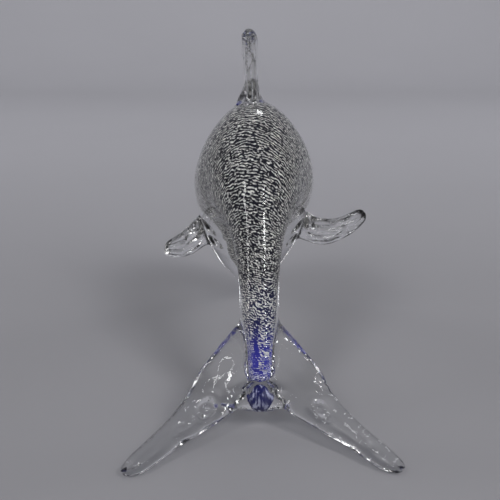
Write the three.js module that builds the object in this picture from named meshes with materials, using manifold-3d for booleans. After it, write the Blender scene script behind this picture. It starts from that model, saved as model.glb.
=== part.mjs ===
// Glass dolphin figurine, worked hot from one gather and fused from separate pieces.
// A cobalt core, wrapped in silver leaf, is cased in clear crystal and drawn out into the body.
// The arched body stands on the two drawn-out fluke tips and on the snout.
// Millimetres, +Z up. Flukes point to -Y and the snout to +Y. The origin is under the middle of
// the figurine's box, on the surface that it stands on.

import * as THREE from 'three';
import { mergeVertices } from 'three/addons/utils/BufferGeometryUtils.js';
import Module from 'manifold-3d';

const wasm = await Module();
wasm.setup();

// ---------------------------------------------------------------- driving dimensions

const GAP = 0.3;                  // clearance kept between two pieces that touch
const SIDES = 28;                 // facets round the body, the leaf and the core
const FIN_SIDES = 16;             // facets round a fin or a fluke blade
const EYE_SIDES = 14;             // facets round an eye bead

// Body, from the tail end to the snout: y, z, half width, half depth, and how far the section
// leans into an egg whose narrow end is the back.
const BODY_STATIONS = [
  [-71.5, 19.0, 9.0, 9.0, 0.00],
  [-66.5, 39.5, 9.0, 9.4, 0.00],
  [-57.5, 61.5, 9.3, 10.8, 0.00],
  [-43.5, 81.5, 12.0, 15.4, 0.04],
  [-21.5, 99.0, 21.0, 25.0, 0.12],
  [6.5, 106.0, 28.6, 32.5, 0.22],
  [36.5, 97.0, 31.6, 33.0, 0.22],
  [62.5, 74.5, 31.2, 29.5, 0.14],
  [80.5, 50.5, 27.2, 24.0, 0.06],
  [92.5, 31.5, 20.2, 17.0, 0.02],
  [101.5, 18.0, 11.8, 10.0, 0.00],
  [110.0, 8.8, 6.9, 6.0, 0.00],
  [121.0, 2.2, 5.2, 4.4, 0.00],
];
const BODY_ACROSS = [1, 0, 0];
const SPLIT = 0.135;              // station where the casing ends and the flukes piece begins
const SNOUT_ROUND = 0.972;        // station where the snout starts to round off

// Core and leaf, as shares of the body's girth, with a blunt front end in the head.
const CORE_SHARE_TAIL = 0.54;
const CORE_SHARE_BODY = 0.65;
const CORE_SHARE_HEAD = 0.34;
const CORE_SWELL = [0.12, 0.40];  // between these stations the share eases from tail to body
const CORE_TAPER = [0.42, 0.62];  // between these it eases from body to head
const CORE_FRONT = 0.80;          // station of the core's front end
const CORE_FRONT_ROUND = 0.14;    // length of its rounded front, in stations
const CORE_BACK = 0.003;          // station of its back end, inside the flukes piece
const CORE_BACK_ROUND = 0.03;
const LEAF_BACK = 0.036;          // station where the leaf stops, short of the core's end
const LEAF_THICKNESS = 0.7;
const LEAF_OUTSIDE = GAP;         // how far each skin is drawn in from the casing's inner wall
const LEAF_INSIDE = GAP + LEAF_THICKNESS;
const CORE_OUTSIDE = 2 * GAP + LEAF_THICKNESS;
const STATION_GAP = 0.003;        // clearance along the spine at the front of core and leaf
const SPLIT_GAP = 0.0014;         // the same where the casing meets the flukes piece
const STOCK_ROUND = 0.04;         // rounding of the stock's lower end, in stations
const FLOOR_BLOCK = 400;          // size of the block that trims the feet flat

// Rings of facets along each shape.
const BODY_RINGS = 30;
const CORE_RINGS = 20;
const SNOUT_RINGS = 5;
const STOCK_RINGS = 8;
const BLADE_RINGS = 14;
const WEB_RINGS = 8;
const FIN_RINGS = 10;
const TIP_RINGS = 6;

// Fluke blade on the +X side, from the stock to the tip: x, y, z, half width, half thickness.
const BLADE_STATIONS = [
  [2.0, -63.0, 47.0, 6.5, 6.0],
  [8.0, -67.5, 35.5, 10.5, 6.2],
  [17.0, -76.0, 22.5, 12.8, 5.6],
  [29.0, -87.5, 13.2, 9.2, 4.9],
  [41.0, -100.5, 8.4, 6.8, 4.4],
  [52.5, -114.0, 4.6, 5.8, 4.2],
  [60.7, -121.0, 2.3, 5.0, 4.0],
];
const BLADE_ACROSS = [-1, 0.1, -0.2];

// Web of glass between the two blades, from one to the other: x, y, z, half height, half thickness.
const WEB_STATIONS = [
  [-19.0, -80.0, 16.5, 5.0, 3.0],
  [-9.0, -77.0, 17.0, 7.8, 5.6],
  [0.0, -76.0, 17.5, 9.2, 7.6],
  [9.0, -77.0, 17.0, 7.8, 5.6],
  [19.0, -80.0, 16.5, 5.0, 3.0],
];
const WEB_ACROSS = [0, 0.35, -1];
const TIP_ROUND = 0.2;            // share of a blade's or fin's path that its tip rounds over

// Dorsal fin, from inside the back to the tip: x, y, z, half chord, half thickness.
const DORSAL_STATIONS = [
  [-2.4, 16.5, 126.0, 15.0, 9.5],
  [-2.4, 15.5, 137.0, 12.5, 6.4],
  [-1.8, 12.5, 146.5, 9.8, 3.1],
  [-2.6, 8.0, 157.0, 8.0, 3.5],
  [-3.2, 2.5, 167.0, 6.0, 3.9],
  [-3.4, -2.5, 175.5, 3.6, 3.4],
];
const DORSAL_ACROSS = [0, 1, 0.25];

// Flippers, from inside the chest to the tip: x, y, z, half chord, half thickness.
const FLIPPER_RIGHT_STATIONS = [
  [18.0, 76.5, 59.0, 8.6, 5.5],
  [28.0, 71.5, 56.5, 9.4, 4.4],
  [38.0, 60.5, 55.2, 8.8, 3.2],
  [48.0, 47.5, 60.2, 6.6, 2.8],
  [56.0, 36.5, 68.5, 5.0, 2.6],
  [61.0, 30.5, 75.2, 3.4, 2.2],
];
const FLIPPER_LEFT_STATIONS = [
  [-18.0, 76.5, 57.0, 9.6, 5.5],
  [-28.0, 71.5, 53.6, 11.0, 4.4],
  [-36.5, 62.5, 49.0, 10.2, 3.2],
  [-44.5, 54.5, 48.0, 7.4, 2.8],
  [-51.0, 48.5, 49.5, 3.8, 2.4],
];
const FLIPPER_ACROSS = [0, 0.25, -1];

// Eye beads, seated on the sides of the head.
const EYE_CENTRE = [19.6, 91.0, 35.5];
const EYE_RADIUS = 3.1;
const PUPIL_RADIUS = 1.5;
const PUPIL_OUT = 2.7;            // from the centre of the white bead to the centre of the pupil

// ---------------------------------------------------------------- colours

const CLEAR = { color: 0xe8eef2, roughness: 0.03, metalness: 0.0, transparent: true, opacity: 0.35 };
const COBALT = { color: 0x10207a, roughness: 0.05, metalness: 0.0 };
const SILVER = { color: 0xb9bcc2, roughness: 0.3, metalness: 0.8 };
const WHITE = { color: 0xf2f0ea, roughness: 0.08, metalness: 0.0 };
const BLACK = { color: 0x0b0b0d, roughness: 0.06, metalness: 0.0 };

// ---------------------------------------------------------------- shapes

// A path with a girth: two curves that share one station value from 0 to 1.
function limb(stations, across) {
  const centres = stations.map(([x, y, z]) => new THREE.Vector3(x, y, z));
  const girths = stations.map(([, , , width, depth, lean = 0]) => new THREE.Vector3(width, depth, lean));
  return {
    path: new THREE.CatmullRomCurve3(centres),
    girth: new THREE.CatmullRomCurve3(girths),
    across: new THREE.Vector3(...across),
  };
}

// A closed mesh in mm with shared vertices and no flat triangles.
function closed(source) {
  source.deleteAttribute('normal');
  source.deleteAttribute('uv');
  const merged = mergeVertices(source);
  const index = merged.getIndex().array;
  const kept = [];
  for (let i = 0; i < index.length; i += 3) {
    const [a, b, c] = [index[i], index[i + 1], index[i + 2]];
    if (a !== b && b !== c && c !== a) kept.push(a, b, c);
  }
  merged.setIndex(kept);
  return merged;
}

// Turns a profile of (share of girth, station) pairs round the Y axis, then bends it along a limb.
// skin is added to the girth all round.
function bend(profile, sides, { path, girth, across }, skin = 0) {
  const geometry = closed(new THREE.LatheGeometry(profile, sides));
  const position = geometry.getAttribute('position');
  const along = new THREE.Vector3();
  const side = new THREE.Vector3();
  const out = new THREE.Vector3();
  for (let i = 0; i < position.count; i += 1) {
    const station = position.getY(i);
    const [width, depth, lean] = girth.getPoint(station).toArray();
    path.getTangent(station, along);
    side.copy(across).addScaledVector(along, -across.dot(along)).normalize();
    out.crossVectors(side, along);
    const u = position.getX(i);
    const v = position.getZ(i);
    const point = path.getPoint(station);
    point.addScaledVector(side, u * (width + skin) * (1 - lean * v));
    point.addScaledVector(out, v * (depth + skin));
    position.setXYZ(i, point.x, point.y, point.z);
  }
  return geometry;
}

// Evenly spaced values from one number to another, both included.
function steps(from, to, count) {
  return Array.from({ length: count + 1 }, (unused, i) => THREE.MathUtils.lerp(from, to, i / count));
}

// Share of full girth near a rounded end: 1 until the rounding starts, then a quarter ellipse to 0.
function roundedEnd(distance, length) {
  const inside = THREE.MathUtils.clamp(distance / length, 0, 1);
  return Math.sqrt(1 - (1 - inside) ** 2);
}

// Profile of a limb that is full at its root and rounds off to a point at its tip.
function taperProfile(rings) {
  const shaft = steps(0, 1 - TIP_ROUND, rings).map((t) => new THREE.Vector2(1, t));
  const tip = steps(0, Math.PI / 2, TIP_RINGS).slice(1, -1);
  const cap = tip.map((a) => new THREE.Vector2(Math.cos(a), 1 - TIP_ROUND + TIP_ROUND * Math.sin(a)));
  return [new THREE.Vector2(0, 0), ...shaft, ...cap, new THREE.Vector2(0, 1)];
}

// Share of the body's girth that the core takes at a station, drawn in by inset mm.
function coreShare(body, station, front, inset) {
  const swell = THREE.MathUtils.smoothstep(station, ...CORE_SWELL);
  const taper = THREE.MathUtils.smoothstep(station, ...CORE_TAPER);
  const swollen = THREE.MathUtils.lerp(CORE_SHARE_TAIL, CORE_SHARE_BODY, swell);
  const share = THREE.MathUtils.lerp(swollen, CORE_SHARE_HEAD, taper);
  const [width, depth] = body.girth.getPoint(station).toArray();
  const drawnIn = share - inset / Math.min(width, depth);
  return drawnIn * roundedEnd(front - station, CORE_FRONT_ROUND);
}

// ---------------------------------------------------------------- booleans

function solid(geometry) {
  const vertProperties = new Float32Array(geometry.getAttribute('position').array);
  const triVerts = new Uint32Array(geometry.getIndex().array);
  return new wasm.Manifold(new wasm.Mesh({ numProp: 3, vertProperties, triVerts }));
}

function shape(manifold) {
  const mesh = manifold.getMesh();
  const geometry = new THREE.BufferGeometry();
  geometry.setAttribute('position', new THREE.BufferAttribute(mesh.vertProperties, 3));
  geometry.setIndex(new THREE.BufferAttribute(mesh.triVerts, 1));
  return geometry;
}

// ---------------------------------------------------------------- body, leaf and core

const body = limb(BODY_STATIONS.map(([y, z, ...girth]) => [0, y, z, ...girth]), BODY_ACROSS);

// Wall of one of the nested shells, from the back station to the point on the axis at its front.
function shellWall(back, inset) {
  const front = CORE_FRONT - STATION_GAP * (inset / GAP);
  const shaftEnd = CORE_FRONT - CORE_FRONT_ROUND;
  const shaft = [back, ...steps(0, shaftEnd, CORE_RINGS).filter((t) => t > back)];
  const nose = steps(0, Math.PI / 2, SNOUT_RINGS + 1).slice(1, -1);
  const stations = [...shaft, ...nose.map((a) => shaftEnd + (front - shaftEnd) * Math.sin(a))];
  const wall = stations.map((t) => new THREE.Vector2(coreShare(body, t, front, inset), t));
  return [...wall, new THREE.Vector2(0, front)];
}

// Outside of the body from a station to the point of the snout.
function skin(back) {
  const rings = [back, ...steps(0, SNOUT_ROUND, BODY_RINGS).filter((t) => t > back)];
  const shaft = rings.map((t) => new THREE.Vector2(1, t));
  const turn = steps(0, Math.PI / 2, SNOUT_RINGS).slice(1, -1);
  const reach = 1 - SNOUT_ROUND;
  const snout = turn.map((a) => new THREE.Vector2(Math.cos(a), SNOUT_ROUND + reach * Math.sin(a)));
  return [...shaft, ...snout, new THREE.Vector2(0, 1)];
}

// A solid bounded by a wall that ends on the axis, with its back end rounded off over a length.
function pluggedWall(wall, back, round) {
  const inner = wall.filter(({ y }) => y > back + round);
  const turn = steps(0, Math.PI / 2, SNOUT_RINGS).slice(1);
  const share = inner[0].x;
  const end = turn.map((a) => new THREE.Vector2(share * Math.sin(a), back + round * (1 - Math.cos(a))));
  return [new THREE.Vector2(0, back), ...end, ...inner];
}

const floorBlock = closed(new THREE.BoxGeometry(FLOOR_BLOCK, FLOOR_BLOCK, FLOOR_BLOCK));
floorBlock.translate(0, 0, -FLOOR_BLOCK / 2);
const floor = solid(floorBlock);

const casingProfile = [...shellWall(SPLIT, 0).reverse(), ...skin(SPLIT)];
const casing = solid(bend(casingProfile, SIDES, body)).subtract(floor);
const leafProfile = [...shellWall(LEAF_BACK, LEAF_INSIDE).reverse(), ...shellWall(LEAF_BACK, LEAF_OUTSIDE)];
const leaf = bend(leafProfile, SIDES, body);
const coreProfile = pluggedWall(shellWall(CORE_BACK, CORE_OUTSIDE), CORE_BACK, CORE_BACK_ROUND);
const core = bend(coreProfile, SIDES, body);

// Everything that the body fills, with the gap added all round: fins, beads and flukes stop there.
const bodySpace = solid(bend([new THREE.Vector2(0, 0), ...skin(0)], SIDES, body, GAP));
const casingSpace = solid(
  bend([new THREE.Vector2(0, SPLIT - SPLIT_GAP), ...skin(SPLIT - SPLIT_GAP)], SIDES, body, GAP),
);

// ---------------------------------------------------------------- fins and flukes

function fin(stations, across) {
  const blank = bend(taperProfile(FIN_RINGS), FIN_SIDES, limb(stations, across));
  return shape(solid(blank).subtract(bodySpace));
}

function mirrored([x, ...rest]) {
  return [-x, ...rest];
}

const stock = bend(
  pluggedWall(steps(0, SPLIT, STOCK_RINGS).map((t) => new THREE.Vector2(1, t)), 0, STOCK_ROUND)
    .concat(new THREE.Vector2(0, SPLIT)),
  SIDES,
  body,
);
const socketBack = CORE_BACK - STATION_GAP;
const socket = bend(pluggedWall(shellWall(socketBack, 0), socketBack, CORE_BACK_ROUND), SIDES, body);
const rightBlade = bend(taperProfile(BLADE_RINGS), FIN_SIDES, limb(BLADE_STATIONS, BLADE_ACROSS));
const leftBlade = bend(
  taperProfile(BLADE_RINGS),
  FIN_SIDES,
  limb(BLADE_STATIONS.map(mirrored), mirrored(BLADE_ACROSS)),
);
const web = bend(taperProfile(WEB_RINGS), FIN_SIDES, limb(WEB_STATIONS, WEB_ACROSS));
const flukes = solid(stock)
  .add(solid(web))
  .add(solid(rightBlade))
  .add(solid(leftBlade))
  .subtract(casingSpace)
  .subtract(solid(socket))
  .subtract(floor);

// ---------------------------------------------------------------- eyes

function bead([x, y, z], radius) {
  const ball = new THREE.SphereGeometry(radius, EYE_SIDES, EYE_SIDES);
  ball.rotateZ(Math.PI / 2);
  ball.translate(x, y, z);
  return solid(closed(ball));
}

function eye(centre) {
  const [x, y, z] = centre;
  const white = bead(centre, EYE_RADIUS);
  const pupil = bead([x + Math.sign(x) * PUPIL_OUT, y, z], PUPIL_RADIUS);
  return {
    white: shape(white.subtract(bodySpace)),
    pupil: shape(pupil.subtract(bead(centre, EYE_RADIUS + GAP))),
  };
}

const rightEye = eye(EYE_CENTRE);
const leftEye = eye(mirrored(EYE_CENTRE));

// ---------------------------------------------------------------- the figurine

const figurine = new THREE.Group();

function place(name, geometry, finish) {
  geometry.computeVertexNormals();
  const mesh = new THREE.Mesh(geometry, new THREE.MeshStandardMaterial(finish));
  mesh.name = name;
  figurine.add(mesh);
}

place('blue_core', core, COBALT);
place('silver_leaf', leaf, SILVER);
place('clear_body', shape(casing), CLEAR);
place('dorsal_fin', fin(DORSAL_STATIONS, DORSAL_ACROSS), CLEAR);
place('pectoral_fin_right', fin(FLIPPER_RIGHT_STATIONS, FLIPPER_ACROSS), CLEAR);
place('pectoral_fin_left', fin(FLIPPER_LEFT_STATIONS, FLIPPER_ACROSS), CLEAR);
place('tail_flukes', shape(flukes), CLEAR);
place('eye_white_right', rightEye.white, WHITE);
place('eye_white_left', leftEye.white, WHITE);
place('eye_pupil_right', rightEye.pupil, BLACK);
place('eye_pupil_left', leftEye.pupil, BLACK);

export default figurine;
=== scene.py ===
"""Leaping dolphin in cased glass: clear crystal over silver leaf on a cobalt core.

The clear glass is drawn as one fused body, because the fins and flukes are joined hot. It is then
parted into the pieces that a glassmaker adds: body, dorsal fin, two flippers and tail flukes. A
parting face between two of them is fused glass, so it shows nothing.
"""

import logging
import math
from collections.abc import Iterable, Sequence
from dataclasses import dataclass, field
from enum import Enum

import bmesh
import bpy
from mathutils import Matrix, Vector, kdtree, noise


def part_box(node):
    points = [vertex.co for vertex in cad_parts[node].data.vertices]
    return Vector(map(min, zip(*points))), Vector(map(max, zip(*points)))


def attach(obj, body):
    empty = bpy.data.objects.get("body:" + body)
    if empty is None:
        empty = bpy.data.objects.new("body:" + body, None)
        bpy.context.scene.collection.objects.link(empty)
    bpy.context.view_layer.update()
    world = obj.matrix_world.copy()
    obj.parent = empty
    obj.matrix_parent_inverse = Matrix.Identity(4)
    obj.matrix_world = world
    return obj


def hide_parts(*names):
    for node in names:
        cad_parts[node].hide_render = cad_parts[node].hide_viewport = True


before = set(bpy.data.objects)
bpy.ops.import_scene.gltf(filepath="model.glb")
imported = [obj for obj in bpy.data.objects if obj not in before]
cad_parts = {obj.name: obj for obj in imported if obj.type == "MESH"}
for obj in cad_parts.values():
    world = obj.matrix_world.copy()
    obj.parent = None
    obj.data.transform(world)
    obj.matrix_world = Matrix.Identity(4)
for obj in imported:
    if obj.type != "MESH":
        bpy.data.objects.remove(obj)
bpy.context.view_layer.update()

MM = 0.001
FLOW = "leaf_flow"
log = logging.getLogger("dolphin")

Stations = tuple[tuple[float, ...], ...]
Ring = tuple[float, float]


class Slot(Enum):
    """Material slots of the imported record."""

    CRYSTAL = "clear_crystal"
    COBALT = "cobalt_glass"
    LEAF = "silver_leaf"
    WHITE = "white_glass"
    BLACK = "black_glass"


# ---------------------------------------------------------------- paths and lofts


def glide(points: Sequence[Vector], station: float) -> Vector:
    """Point on the centripetal Catmull-Rom curve through some points.

    Args:
        points: The points, in order.
        station: Place along the curve, 0 at the first point and 1 at the last.

    Returns:
        The point there.
    """
    last = len(points) - 1
    place = min(max(station, 0.0), 1.0) * last
    index = min(int(place), last - 1)
    share = place - index
    start, end = points[index], points[index + 1]
    before = points[index - 1] if index else 2 * start - end
    after = points[index + 2] if index + 2 <= last else 2 * end - start
    middle = max((end - start).length, 1e-8) ** 0.5
    first = (start - before).length ** 0.5 or middle
    third = (after - end).length ** 0.5 or middle
    leave = (start - before) / first - (end - before) / (first + middle) + (end - start) / middle
    reach = (end - start) / middle - (after - start) / (middle + third) + (after - end) / third
    leave, reach = leave * middle, reach * middle
    cubic = 2 * (start - end) + leave + reach
    square = 3 * (end - start) - 2 * leave - reach
    return start + leave * share + square * share**2 + cubic * share**3


def ease(value: float, low: float, high: float) -> float:
    """Smooth step from 0 at low to 1 at high."""
    share = min(max((value - low) / (high - low), 0.0), 1.0)
    return share * share * (3 - 2 * share)


def spread(low: float, high: float, count: int) -> list[float]:
    """Evenly spaced values from low to high, both included."""
    return [low + (high - low) * i / count for i in range(count + 1)]


@dataclass(frozen=True)
class Limb:
    """A path with a girth, in millimetres.

    Attributes:
        stations: Rows of x, y, z, half width, half depth and, if it leans into an egg, the lean.
        across: Direction of the section's width.
    """

    stations: Stations
    across: tuple[float, float, float]

    def centre(self, station: float) -> Vector:
        """Point on the path."""
        return glide([Vector(row[:3]) for row in self.stations], station)

    def girth(self, station: float) -> Vector:
        """Half width, half depth and lean at a station."""
        return glide([Vector((*row[3:], 0.0)[:3]) for row in self.stations], station)

    def tangent(self, station: float, step: float = 1e-4) -> Vector:
        """Direction of the path.

        Args:
            station: Place along it.
            step: How far to each side the path is felt, in stations.

        Returns:
            A vector of length 1.
        """
        ahead = self.centre(min(station + step, 1.0))
        return (ahead - self.centre(max(station - step, 0.0))).normalized()

    def axes(self, station: float) -> tuple[Vector, Vector]:
        """The section's width and depth directions.

        Args:
            station: Place along the path.

        Returns:
            Two vectors of length 1.
        """
        along = self.tangent(station)
        across = Vector(self.across)
        side = (across - along * across.dot(along)).normalized()
        return side, side.cross(along)

    def length(self, steps: int = 200) -> float:
        """Length of the path in millimetres."""
        marks = [self.centre(i / steps) for i in range(steps + 1)]
        return sum((b - a).length for a, b in zip(marks, marks[1:]))


def loft(
    bm: bmesh.types.BMesh, limb: Limb, rings: Sequence[Ring], sides: int, extra: float = 0.0
) -> None:
    """Adds a limb's skin to a bmesh, by extruding one circle along it ring by ring.

    Args:
        bm: The bmesh to add to. It holds a point layer for the straightened place of each vertex.
        limb: The path and girth that the skin follows.
        rings: Share of the girth and station of each ring. A share of 0 closes an end to a point.
        sides: Vertices in a ring.
        extra: Girth added all round, in millimetres.
    """
    flow = bm.verts.layers.float_vector[FLOW]
    length = limb.length()
    ring = bmesh.ops.create_circle(bm, segments=sides, radius=1.0)["verts"]
    edges = list({edge for vert in ring for edge in vert.link_edges})
    for vert in ring:
        vert[flow] = vert.co
    made = list(ring)
    for count, (share, station) in enumerate(rings):
        if count:
            grown = bmesh.ops.extrude_edge_only(bm, edges=edges)["geom"]
            ring = [item for item in grown if isinstance(item, bmesh.types.BMVert)]
            edges = [item for item in grown if isinstance(item, bmesh.types.BMEdge)]
            made += ring
        centre = limb.centre(station)
        side, out = limb.axes(station)
        width, depth, lean = limb.girth(station)
        width, depth = width + extra, depth + extra
        for vert in ring:
            unit = Vector((vert[flow].x, vert[flow].y)).normalized()
            reach_x = unit.x * share * width * (1 - lean * unit.y * share)
            vert.co = (centre + side * reach_x + out * unit.y * share * depth) * MM
            radius = max((width + depth) / 2 * share, 1e-3)
            vert[flow] = Vector((unit.x * radius, unit.y * radius, station * length))
    bmesh.ops.remove_doubles(bm, verts=made, dist=1e-7)


def new_bmesh() -> bmesh.types.BMesh:
    """An empty bmesh with the layer that holds each vertex's straightened place."""
    bm = bmesh.new()
    bm.verts.layers.float_vector.new(FLOW)
    return bm


def as_object(bm: bmesh.types.BMesh, name: str) -> bpy.types.Object:
    """Turns a bmesh into a smoothly shaded object of the scene and frees it.

    Args:
        bm: The finished bmesh.
        name: Name of the object and its mesh.

    Returns:
        The new object, at the origin.
    """
    for face in bm.faces:
        face.smooth = True
    mesh = bpy.data.meshes.new(name)
    bm.to_mesh(mesh)
    bm.free()
    piece = bpy.data.objects.new(name, mesh)
    bpy.context.scene.collection.objects.link(piece)
    return piece


def round_tip(start: float, steps: int) -> list[Ring]:
    """Rings of a quarter ellipse that closes a limb from a station to its end."""
    turns = spread(0.0, math.pi / 2, steps)[1:-1]
    return [(math.cos(a), start + (1 - start) * math.sin(a)) for a in turns] + [(0.0, 1.0)]


def taper(tip_start: float, rings: int = 40, tip_rings: int = 8) -> list[Ring]:
    """Rings of a limb that is full at its root and rounds off from a station to its tip."""
    shaft = [(1.0, station) for station in spread(0.0, tip_start, rings)]
    return [(0.0, 0.0), *shaft, *round_tip(tip_start, tip_rings)]


# ---------------------------------------------------------------- the shape of the figurine

BODY = Limb(
    stations=(
        (0, -71.5, 19.0, 9.0, 9.0, 0.00),
        (0, -66.5, 39.5, 9.0, 9.4, 0.00),
        (0, -57.5, 61.5, 9.3, 10.8, 0.00),
        (0, -43.5, 81.5, 12.0, 15.4, 0.04),
        (0, -21.5, 99.0, 21.0, 25.0, 0.12),
        (0, 6.5, 106.0, 28.6, 32.5, 0.22),
        (0, 36.5, 97.0, 31.6, 33.0, 0.22),
        (0, 62.5, 74.5, 31.2, 29.5, 0.14),
        (0, 80.5, 50.5, 27.2, 24.0, 0.06),
        (0, 92.5, 31.5, 20.2, 17.0, 0.02),
        (0, 101.5, 18.0, 11.8, 10.0, 0.00),
        (0, 110.0, 8.8, 6.9, 6.0, 0.00),
        (0, 121.0, 2.2, 5.2, 4.4, 0.00),
    ),
    across=(1, 0, 0),
)
BLADE = Limb(
    stations=(
        (2.0, -63.0, 47.0, 6.5, 6.0),
        (8.0, -67.5, 35.5, 10.5, 6.2),
        (17.0, -76.0, 22.5, 12.8, 5.6),
        (29.0, -87.5, 13.2, 9.2, 4.9),
        (41.0, -100.5, 8.4, 6.8, 4.4),
        (52.5, -114.0, 4.6, 5.8, 4.2),
        (60.7, -121.0, 2.3, 5.0, 4.0),
    ),
    across=(-1, 0.1, -0.2),
)
WEB = Limb(
    stations=(
        (-19.0, -80.0, 16.5, 5.0, 3.0),
        (-9.0, -77.0, 17.0, 7.8, 5.6),
        (0.0, -76.0, 17.5, 9.2, 7.6),
        (9.0, -77.0, 17.0, 7.8, 5.6),
        (19.0, -80.0, 16.5, 5.0, 3.0),
    ),
    across=(0, 0.35, -1),
)
DORSAL = Limb(
    stations=(
        (-2.4, 16.5, 126.0, 15.0, 9.5),
        (-2.4, 15.5, 137.0, 12.5, 6.4),
        (-1.8, 12.5, 146.5, 9.8, 3.1),
        (-2.6, 8.0, 157.0, 8.0, 3.5),
        (-3.2, 2.5, 167.0, 6.0, 3.9),
        (-3.4, -2.5, 175.5, 3.6, 3.4),
    ),
    across=(0, 1, 0.25),
)
FLIPPER_RIGHT = Limb(
    stations=(
        (18.0, 76.5, 59.0, 8.6, 5.5),
        (28.0, 71.5, 56.5, 9.4, 4.4),
        (38.0, 60.5, 55.2, 8.8, 3.2),
        (48.0, 47.5, 60.2, 6.6, 2.8),
        (56.0, 36.5, 68.5, 5.0, 2.6),
        (61.0, 30.5, 75.2, 3.4, 2.2),
    ),
    across=(0, 0.25, -1),
)
FLIPPER_LEFT = Limb(
    stations=(
        (-18.0, 76.5, 57.0, 9.6, 5.5),
        (-28.0, 71.5, 53.6, 11.0, 4.4),
        (-36.5, 62.5, 49.0, 10.2, 3.2),
        (-44.5, 54.5, 48.0, 7.4, 2.8),
        (-51.0, 48.5, 49.5, 3.8, 2.4),
    ),
    across=(0, 0.25, -1),
)


def mirrored(limb: Limb) -> Limb:
    """The same limb on the other side of the figurine."""
    flip = tuple((-row[0], *row[1:]) for row in limb.stations)
    return Limb(flip, (-limb.across[0], *limb.across[1:]))


@dataclass(frozen=True)
class Flutes:
    """Lengthwise ridges that a limb gets when it is pulled out hot.

    Attributes:
        limb: The limb that was pulled.
        count: Ridges round it.
        depth: Depth of the hollows between them, in millimetres.
        start: Stations between which they come up, from the root outwards.
        twist: Turns of the ridges from root to tip.
        reach: How far out the skin is felt for, in largest girths.
        margin: Square of the distance, in girths, past which the skin is another limb's.
        grain: Size of the bends in the ridges, in millimetres.
        wander: How far a bend leads a ridge astray, in radians.
        steps: Places along the limb where its frame is taken.
    """

    limb: Limb
    count: int
    depth: float
    start: tuple[float, float]
    twist: float = 0.15
    reach: float = 1.6
    margin: float = 2.0
    grain: float = 9.0
    wander: float = 0.3
    steps: int = 160

    def cut(self, bm: bmesh.types.BMesh) -> None:
        """Presses the hollows into the part of a skin that follows the limb.

        Args:
            bm: The skin, with its normals up to date.
        """
        stations = [i / self.steps for i in range(self.steps + 1)]
        marks = [self.limb.centre(station) for station in stations]
        frames = [(*self.limb.axes(station), self.limb.girth(station)) for station in stations]
        tree = kdtree.KDTree(len(marks))
        for index, mark in enumerate(marks):
            tree.insert(mark, index)
        tree.balance()
        reach = self.reach * max(max(girth[:2]) for _, _, girth in frames)
        for vert in bm.verts:
            place = vert.co / MM
            mark, index, distance = tree.find(place)
            if distance > reach:
                continue
            side, out, girth = frames[index]
            offset = place - mark
            u, v = offset.dot(side) / girth[0], offset.dot(out) / girth[1]
            if u * u + v * v > self.margin:
                continue
            station = stations[index]
            angle = math.atan2(v, u) + math.tau * self.twist * station
            bend = self.wander * noise.noise(place / self.grain)
            hollow = 0.5 - 0.5 * math.cos(self.count * (angle + bend))
            depth = self.depth * hollow * ease(station, *self.start)
            vert.co -= vert.normal * depth * MM


@dataclass(frozen=True)
class ToolMark:
    """A hollow pressed into hot glass, with ripples round its middle.

    Attributes:
        place: Its middle, in millimetres.
        run: Direction of its longer way.
        length: Half of its longer way, in millimetres.
        width: Half of its shorter way, in millimetres.
        depth: Depth at the middle, in millimetres.
        ripples: Number of ripples from the middle to the rim.
        press: Direction in which the tool was pressed.
        wave: Height of the ripples, as a share of the depth.
        facing: Largest cosine between press and the skin's normal where the tool still marks.
    """

    place: tuple[float, float, float]
    run: tuple[float, float, float]
    length: float
    width: float
    depth: float
    ripples: float
    press: tuple[float, float, float] = (0.0, 0.55, -0.83)
    wave: float = 0.6
    facing: float = -0.1

    def cut(self, bm: bmesh.types.BMesh) -> None:
        """Presses the mark into the side of a skin that faces the tool.

        Args:
            bm: The skin, with its normals up to date.
        """
        reach = 2 * self.length
        press = Vector(self.press).normalized()
        run = Vector(self.run)
        run = (run - press * run.dot(press)).normalized()
        across = press.cross(run)
        for vert in bm.verts:
            offset = vert.co / MM - Vector(self.place)
            far = math.hypot(offset.dot(run) / self.length, offset.dot(across) / self.width)
            if far >= 1 or abs(offset.dot(press)) > reach or vert.normal.dot(press) > self.facing:
                continue
            bowl = (1 - far * far) ** 2
            ripple = 1 + self.wave * math.cos(math.tau * self.ripples * far)
            vert.co += press * self.depth * bowl * ripple * MM


FLUTES = (
    Flutes(BLADE, 2, 1.9, (0.0, 0.25), 0.0),
    Flutes(mirrored(BLADE), 2, 1.9, (0.0, 0.25), 0.0),
    Flutes(BLADE, 6, 0.5, (0.1, 0.3)),
    Flutes(mirrored(BLADE), 6, 0.5, (0.1, 0.3), -0.1),
    Flutes(DORSAL, 9, 0.6, (0.12, 0.4), 0.12),
    Flutes(FLIPPER_RIGHT, 2, 0.9, (0.15, 0.35), 0.0),
    Flutes(FLIPPER_LEFT, 2, 0.9, (0.15, 0.35), 0.0),
    Flutes(FLIPPER_RIGHT, 9, 0.9, (0.2, 0.45)),
    Flutes(FLIPPER_LEFT, 9, 1.0, (0.15, 0.4), -0.2),
)
RIGHT_RUN = (0.62, -0.7, -0.45)
LEFT_RUN = (-0.62, -0.7, -0.45)
ACROSS_RUN = (1.0, 0.0, 0.0)
FLANK_RUN = (0.0, 0.73, -0.68)
RIGHT_FLANK = (-0.6, 0.55, 0.58)
LEFT_FLANK = (0.6, 0.55, 0.58)
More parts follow.
